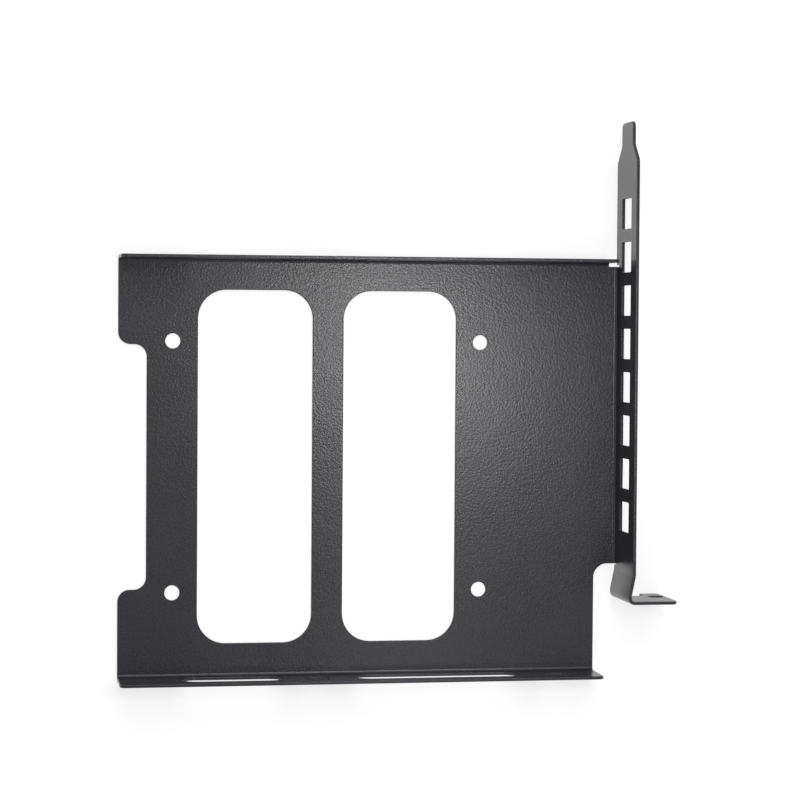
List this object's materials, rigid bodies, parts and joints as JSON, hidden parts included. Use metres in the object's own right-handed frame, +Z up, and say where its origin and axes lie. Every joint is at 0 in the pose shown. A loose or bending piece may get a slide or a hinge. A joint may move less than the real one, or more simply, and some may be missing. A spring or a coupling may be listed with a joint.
{
  "type": "expansion slot drive bracket",
  "caption": "Folded black steel bracket that carries a drive on a windowed plate between side flanges and is fixed in a computer's expansion slot by a vented strip with a screw tab.",
  "frame": {"origin": "middle of the plate's rectangle of drive holes, on the plate's underside", "axes": "+Z up from the underside, the way the flanges and the slot strip stand; +X towards the slot strip; +Y along the strip towards its tongue"},
  "size_m": [0.1365, 0.138, 0.0184],
  "materials": {
    "coated_steel": "black fine-textured powder coat, satin"
  },
  "bodies": {
    "root": {"folded_bracket": "coated_steel"}
  },
  "joints": []
}
